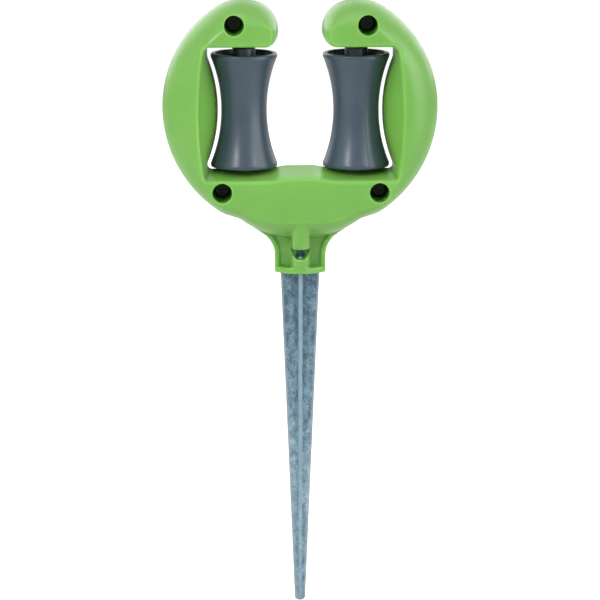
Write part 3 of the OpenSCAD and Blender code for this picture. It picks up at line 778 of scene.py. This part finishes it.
# zinc, from its dull ground to its pale flecks, and the painted highlight on the fronts of the fins and the
# greyer wing edges
ZINC_STOPS = [(0.43, (0.070, 0.124, 0.178)), (0.61, (0.158, 0.264, 0.328)),
              (0.77, (0.265, 0.392, 0.456)), (0.93, (0.500, 0.600, 0.660))]
FIN_HIGHLIGHT_STOPS = [(0.38, (0.222, 0.308, 0.378)), (0.88, (0.300, 0.410, 0.480))]
GREY_STOPS = [(0.38, (0.200, 0.250, 0.292)), (0.88, (0.380, 0.440, 0.480))]
SPANGLE_SCALE = 1300.0
SPANGLE_SHARE = 0.12
SPECK_SHARE = 0.34
SPANGLE_BUMP = (0.2, 0.00006)  # strength and height
SPECK_BUMP = (0.35, 0.00008)
ZINC_METAL = 0.5
ZINC_ROUGH = (0.40, 0.58)
COLLAR_PAINTED_SHADE = (-0.11, -0.01, 0.21)  # painted shade towards the collar: where it goes from none to all, and its loss of tone
SOCKET_PAINTED_SHADE = (0.0086, 0.009, 0.3)  # the same painted shade, inside the socket
ROOT_PAINTED_SHADE = (0.0032, 0.0013, 0.07)  # the same painted shade, towards the roots of the fins
FIN_HIGHLIGHT_BAND = 0.5  # millimetres in from a fin's front
GREY_BAND = 1.1  # width of the painted highlight, in millimetres in from a fin's front
BAND_SOFT = (-0.0002, 0.0003)  # from none to all, across a band's border
FIN_HIGHLIGHT_HALF = (0.0011, 0.0008)  # from none to all of the painted highlight, towards the middle of a fin
FIN_HIGHLIGHT_HEIGHT = (-0.30, -0.05)  # from none to all of the painted highlight, up the spike

# steel of the axles and the screws
AXLE_TONE = (0.60, 0.61, 0.62)
# blackened steel, darkened further as painted shade of the deep counterbores and tinted green as painted
# reflection of their walls
SCREW_SHADED_TONE = (0.015, 0.024, 0.017)
STEEL_DARK_SHARE = 0.82  # of the tone, in the darker clouds
STEEL_LOW, STEEL_HIGH = 0.35, 0.65  # where both lie in a noise
STEEL_BUMP = (0.08, 0.00003)


# materials
def new_material(name):
    material = bpy.data.materials.new(name)
    material.use_nodes = True
    nodes, links = material.node_tree.nodes, material.node_tree.links
    nodes.clear()
    out = nodes.new("ShaderNodeOutputMaterial")
    bsdf = nodes.new("ShaderNodeBsdfPrincipled")
    links.new(bsdf.outputs["BSDF"], out.inputs["Surface"])
    coord = nodes.new("ShaderNodeTexCoord").outputs["Object"]
    return material, nodes, links, bsdf, coord


def noise(nodes, links, coord, scale, detail=2.0, rough=0.5, stretch=None):
    if stretch:
        mapping = nodes.new("ShaderNodeMapping")
        mapping.inputs["Scale"].default_value = stretch
        links.new(coord, mapping.inputs["Vector"])
        coord = mapping.outputs["Vector"]
    node = nodes.new("ShaderNodeTexNoise")
    node.inputs["Scale"].default_value = scale
    node.inputs["Detail"].default_value = detail
    node.inputs["Roughness"].default_value = rough
    links.new(coord, node.inputs["Vector"])
    return node.outputs["Fac"]


def ramp(nodes, links, value, stops):
    node = nodes.new("ShaderNodeValToRGB")
    elements = node.color_ramp.elements
    while len(elements) < len(stops):
        elements.new(0.5)
    for element, (position, colour) in zip(elements, stops):
        element.position = position
        element.color = (*colour, 1.0)
    links.new(value, node.inputs["Fac"])
    return node.outputs["Color"]


def ranged(nodes, links, value, start, end, low=0.0, high=1.0):
    """Low at the start and high at the end, and level beyond them."""
    node = nodes.new("ShaderNodeMapRange")
    node.inputs["From Min"].default_value = start
    node.inputs["From Max"].default_value = end
    node.inputs["To Min"].default_value = low
    node.inputs["To Max"].default_value = high
    links.new(value, node.inputs["Value"])
    return node.outputs["Result"]


def spread(nodes, links, value, low, high):
    """Most of a noise's values, spread between two others."""
    return ranged(nodes, links, value, NOISE_LOW, NOISE_HIGH, low, high)


def calc(nodes, links, operation, *values):
    node = nodes.new("ShaderNodeMath")
    node.operation = operation
    for socket, value in zip(node.inputs, values):
        if isinstance(value, (int, float)):
            socket.default_value = value
        else:
            links.new(value, socket)
    return node.outputs["Value"]


def mixed(nodes, links, share, first, second):
    """A colour between two others. The node's colour sockets are known by number."""
    node = nodes.new("ShaderNodeMix")
    node.data_type = "RGBA"
    links.new(share, node.inputs["Factor"])
    links.new(first, node.inputs[6])
    links.new(second, node.inputs[7])
    return node.outputs[2]


def parts_of(nodes, links, coord):
    node = nodes.new("ShaderNodeSeparateXYZ")
    links.new(coord, node.inputs["Vector"])
    return node.outputs


def bump(nodes, links, bsdf, layers):
    """Stacks bumps from (height, strength, distance in metres)."""
    last = None
    for height, strength, distance in layers:
        node = nodes.new("ShaderNodeBump")
        node.inputs["Strength"].default_value = strength
        node.inputs["Distance"].default_value = distance
        links.new(height, node.inputs["Height"])
        if last:
            links.new(last, node.inputs["Normal"])
        last = node.outputs["Normal"]
    links.new(last, bsdf.inputs["Normal"])


def moulded(name, tones, rough, grain, glow, seam):
    """Plastic with a faint cloud of tone and a fine grain. Glow is the share of light that goes into it."""
    material, nodes, links, bsdf, coord = new_material(name)
    cloud = noise(nodes, links, coord, scale=38.0, detail=4.0, rough=0.55)
    tone = ramp(nodes, links, cloud, list(zip((NOISE_LOW, NOISE_HIGH), tones)))
    if seam:
        dark = [tuple(c * share for c in colour) for colour, share in zip(tones, SEAM_SHARES)]
        line = ramp(nodes, links, cloud, list(zip((NOISE_LOW, NOISE_HIGH), dark)))
        off = calc(nodes, links, "ABSOLUTE", parts_of(nodes, links, coord)["Y"])
        tone = mixed(nodes, links, ranged(nodes, links, off, SEAM_INNER, SEAM_OUTER), line, tone)
    links.new(tone, bsdf.inputs["Base Color"])
    amount = noise(nodes, links, coord, scale=120.0, detail=3.0)
    links.new(spread(nodes, links, amount, *rough), bsdf.inputs["Roughness"])
    bsdf.inputs["IOR"].default_value = PLASTIC_IOR
    bsdf.inputs["Subsurface Weight"].default_value = glow
    bsdf.inputs["Subsurface Radius"].default_value = GLOW_RADIUS
    bsdf.inputs["Subsurface Scale"].default_value = GLOW_DEPTH
    fine = noise(nodes, links, coord, scale=5200.0, detail=1.0)
    bump(nodes, links, bsdf, [(fine, grain, PLASTIC_GRAIN_DEPTH)])
    return material


def galvanised(name):
    """Zinc: fine spangle with pale flecks, a painted highlight on each fin's front, greyer wing edges,
    painted shade.
    """
    material, nodes, links, bsdf, coord = new_material(name)
    parts = parts_of(nodes, links, coord)
    height = parts["Z"]
    sideways = calc(nodes, links, "ABSOLUTE", parts["X"])
    cells = nodes.new("ShaderNodeTexVoronoi")
    cells.inputs["Scale"].default_value = SPANGLE_SCALE
    links.new(coord, cells.inputs["Vector"])
    split = nodes.new("ShaderNodeSeparateColor")
    links.new(cells.outputs["Color"], split.inputs["Color"])
    spangle = split.outputs["Red"]
    cloud = noise(nodes, links, coord, scale=310.0, detail=6.0, rough=0.7, stretch=(1.0, 1.0, 0.6))
    speck = noise(nodes, links, coord, scale=1500.0, detail=3.0, rough=0.6)
    pattern = calc(nodes, links, "MULTIPLY_ADD", spangle, SPANGLE_SHARE, cloud)
    pattern = calc(nodes, links, "MULTIPLY_ADD", speck, SPECK_SHARE, pattern)
    # painted shade, darker towards the collar, inside the socket and near the roots of the fins
    for value, (start, end, loss) in ((height, COLLAR_PAINTED_SHADE), (height, SOCKET_PAINTED_SHADE), (sideways, ROOT_PAINTED_SHADE)):
        amount = ranged(nodes, links, value, start, end)
        pattern = calc(nodes, links, "MULTIPLY_ADD", amount, -loss, pattern)

    def near_edge(axis, reach, tip_reach, band):
        """1 in a band along a blade's outer edge, which tapers to the point."""
        out = calc(nodes, links, "ABSOLUTE", parts[axis])
        taper = (reach - tip_reach) / STAKE_L
        border = calc(nodes, links, "MULTIPLY_ADD", height, taper, (reach - band) * MM)
        return ranged(nodes, links, calc(nodes, links, "SUBTRACT", out, border), *BAND_SOFT)

    # painted highlight down the front of each fin, fading towards the point
    middle = ranged(nodes, links, sideways, *FIN_HIGHLIGHT_HALF)
    fin_highlight = calc(nodes, links, "MULTIPLY", middle, ranged(nodes, links, height, *FIN_HIGHLIGHT_HEIGHT))
    fin_highlight = calc(nodes, links, "MULTIPLY", near_edge("Y", FIN_D, FIN_TIP_D, FIN_HIGHLIGHT_BAND), fin_highlight)
    grey = near_edge("X", WING_W / 2, WING_TIP_W / 2, GREY_BAND)
    tone = ramp(nodes, links, pattern, ZINC_STOPS)
    tone = mixed(nodes, links, grey, tone, ramp(nodes, links, pattern, GREY_STOPS))
    tone = mixed(nodes, links, fin_highlight, tone, ramp(nodes, links, pattern, FIN_HIGHLIGHT_STOPS))
    links.new(tone, bsdf.inputs["Base Color"])
    bsdf.inputs["Metallic"].default_value = ZINC_METAL
    links.new(spread(nodes, links, cloud, *ZINC_ROUGH), bsdf.inputs["Roughness"])
    bump(nodes, links, bsdf, [(spangle, *SPANGLE_BUMP), (speck, *SPECK_BUMP)])
    return material


def turned_steel(name, tone, rough, metallic):
    """Steel with fine level marks."""
    material, nodes, links, bsdf, coord = new_material(name)
    cloud = noise(nodes, links, coord, scale=350.0, detail=4.0)
    dark = tuple(c * STEEL_DARK_SHARE for c in tone)
    links.new(ramp(nodes, links, cloud, [(STEEL_LOW, dark), (STEEL_HIGH, tone)]), bsdf.inputs["Base Color"])
    bsdf.inputs["Metallic"].default_value = metallic
    marks = noise(nodes, links, coord, scale=900.0, detail=2.0, stretch=(1.0, 1.0, 6.0))
    links.new(spread(nodes, links, marks, *rough), bsdf.inputs["Roughness"])
    bump(nodes, links, bsdf, [(marks, *STEEL_BUMP)])
    return material


green = moulded("moulded_green", GREEN, rough=(0.29, 0.35), grain=0.10, glow=1.0, seam=True)
slate = moulded("moulded_slate", SLATE, rough=(0.28, 0.36), grain=0.12, glow=0.0, seam=False)
zinc = galvanised("galvanised")
axle_steel = turned_steel("drawn_steel", AXLE_TONE, rough=(0.26, 0.36), metallic=1.0)
screw_steel = turned_steel("blackened_steel_painted_shade", SCREW_SHADED_TONE, rough=(0.55, 0.65), metallic=0.0)

looks = ((front, green), (rear, green), (left_roller, slate), (right_roller, slate), (stake, zinc))
for piece, material in looks:
    dress(piece, material)
for piece in (front, rear):
    keep_in_box(piece)
    shade(piece, SHARP_SHELL_EDGE)
for name, material in (("left_axle", axle_steel), ("right_axle", axle_steel), ("shell_screws", screw_steel)):
    dress(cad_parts[name], material)

place(front, "head", "green_plastic", "front_shell")
place(rear, "head", "green_plastic", "rear_shell")
place(left_roller, "left_roller", "grey_plastic", "left_roller")
place(right_roller, "right_roller", "grey_plastic", "right_roller")
place(stake, "head", "galvanised_steel", "stake")

# Floor, light and camera, in metres, degrees and watts.
FLOOR_HALF = 9.0
FLOOR_GAP = 0.0002  # below the spike's point
FLOOR_TONE = (0.85, 0.85, 0.85, 1)
FLOOR_GLOW = 0.15  # as mirrored
FLOOR_CAMERA_GLOW = 0.59  # added for the camera, to which the floor is white
WORLD_TONE = (1, 1, 1, 1)
WORLD_LIGHT = 0.30  # its strength as a light, where it is seen as 1
LAMP_AIM = (0, 0, 0.06)
INNER_AIM = (0.045, -0.008, 0.084)  # on the right inner wall
FOCAL_PIXELS, PICTURE_PIXELS = 3951.0, 600
SENSOR_W = 36.0  # millimetres
CAMERA_AZIMUTH = -1.64
CAMERA_ELEVATION = 10.92
CAMERA_DISTANCE = 2.0
CAMERA_AIM = (0, 0, -0.01536)
CAMERA_REACH = 50


def seen_directly(nodes, links):
    """1 for camera, mirror and see-through rays, and else 0."""
    path = nodes.new("ShaderNodeLightPath")
    total = path.outputs["Is Camera Ray"]
    for other in ("Is Glossy Ray", "Is Transmission Ray"):
        total = calc(nodes, links, "MAXIMUM", total, path.outputs[other])
    return total


def floor_material():
    """A pale floor with a glow that is weak in what mirrors it and strong to the camera."""
    material = bpy.data.materials.new("pale_floor")
    material.use_nodes = True
    nodes, links = material.node_tree.nodes, material.node_tree.links
    nodes.clear()
    out = nodes.new("ShaderNodeOutputMaterial")
    cover = nodes.new("ShaderNodeBsdfDiffuse")
    cover.inputs["Color"].default_value = FLOOR_TONE
    glow = nodes.new("ShaderNodeEmission")
    mirrored = calc(nodes, links, "MULTIPLY", seen_directly(nodes, links), FLOOR_GLOW)
    camera_ray = nodes.new("ShaderNodeLightPath").outputs["Is Camera Ray"]
    level = calc(nodes, links, "MULTIPLY_ADD", camera_ray, FLOOR_CAMERA_GLOW, mirrored)
    links.new(level, glow.inputs["Strength"])
    both = nodes.new("ShaderNodeAddShader")
    links.new(cover.outputs["BSDF"], both.inputs[0])
    links.new(glow.outputs["Emission"], both.inputs[1])
    links.new(both.outputs["Shader"], out.inputs["Surface"])
    return material


def studio_world():
    """White where it is seen, and a weaker light on everything else."""
    world = bpy.data.worlds.new("studio")
    world.use_nodes = True
    nodes, links = world.node_tree.nodes, world.node_tree.links
    nodes.clear()
    out = nodes.new("ShaderNodeOutputWorld")
    sky = nodes.new("ShaderNodeBackground")
    sky.inputs["Color"].default_value = WORLD_TONE
    level = ranged(nodes, links, seen_directly(nodes, links), 0.0, 1.0, WORLD_LIGHT, 1.0)
    links.new(level, sky.inputs["Strength"])
    links.new(sky.outputs["Background"], out.inputs["Surface"])
    return world


def towards(azimuth, elevation):
    """The way from the object to a lamp or the camera."""
    a, e = math.radians(azimuth), math.radians(elevation)
    return Vector((math.sin(a) * math.cos(e), -math.cos(a) * math.cos(e), math.sin(e)))


def lamp(name, azimuth, elevation, distance, size, watts, mirrored=True, aim=LAMP_AIM):
    """An area lamp that the camera doesn't see, and that shows in mirroring surfaces or not."""
    data = bpy.data.lights.new(name, "AREA")
    data.shape = "RECTANGLE"
    data.size, data.size_y = size
    data.energy = watts
    ob = bpy.data.objects.new(name, data)
    back = towards(azimuth, elevation)
    ob.location = Vector(aim) + back * distance
    ob.rotation_euler = (-back).to_track_quat("-Z", "Y").to_euler()
    ob.visible_camera = False
    ob.visible_glossy = mirrored
    scene.collection.objects.link(ob)


def add_camera():
    data = bpy.data.cameras.new("camera")
    data.sensor_width = SENSOR_W
    data.lens = FOCAL_PIXELS / PICTURE_PIXELS * SENSOR_W
    data.clip_end = CAMERA_REACH
    ob = bpy.data.objects.new("camera", data)
    back = towards(CAMERA_AZIMUTH, CAMERA_ELEVATION)
    ob.location = Vector(CAMERA_AIM) + back * CAMERA_DISTANCE
    ob.rotation_mode = "QUATERNION"
    ob.rotation_quaternion = (-back).to_track_quat("-Z", "Y")
    scene.collection.objects.link(ob)
    scene.camera = ob


floor_corners = [(-FLOOR_HALF, -FLOOR_HALF, 0), (FLOOR_HALF, -FLOOR_HALF, 0),
                 (FLOOR_HALF, FLOOR_HALF, 0), (-FLOOR_HALF, FLOOR_HALF, 0)]
floor = mesh_object("floor", floor_corners, [(0, 1, 2, 3)])
floor.location = (0, 0, -STAKE_L * MM - FLOOR_GAP)
floor.data.materials.append(floor_material())

scene.world = studio_world()

lamp("key", azimuth=-34, elevation=27, distance=1.3, size=(0.13, 0.36), watts=4.8)
lamp("front", azimuth=-10, elevation=42, distance=1.3, size=(0.5, 0.3), watts=1.2, mirrored=False)
lamp("fill", azimuth=38, elevation=31, distance=1.3, size=(0.14, 0.3), watts=1.5)
lamp("left_box", azimuth=-62, elevation=12, distance=1.4, size=(1.4, 1.4), watts=11.0, mirrored=False)
lamp("right_box", azimuth=62, elevation=10, distance=1.4, size=(1.2, 1.4), watts=13.3)
lamp("top", azimuth=-10, elevation=78, distance=1.3, size=(0.9, 0.7), watts=3.0)
# two weak strips before the mouth, each turned to one inner wall
for side in SIDES:
    lamp("inner_strip", azimuth=-55 * side, elevation=0, distance=0.055, size=(0.012, 0.04), watts=0.0055,
         mirrored=False, aim=(side * INNER_AIM[0], INNER_AIM[1], INNER_AIM[2]))
lamp("back_left", azimuth=-150, elevation=24, distance=1.5, size=(1.2, 1.2), watts=4.0)
lamp("back_right", azimuth=150, elevation=24, distance=1.5, size=(1.2, 1.2), watts=4.0)

add_camera()
scene.view_settings.view_transform = "Standard"
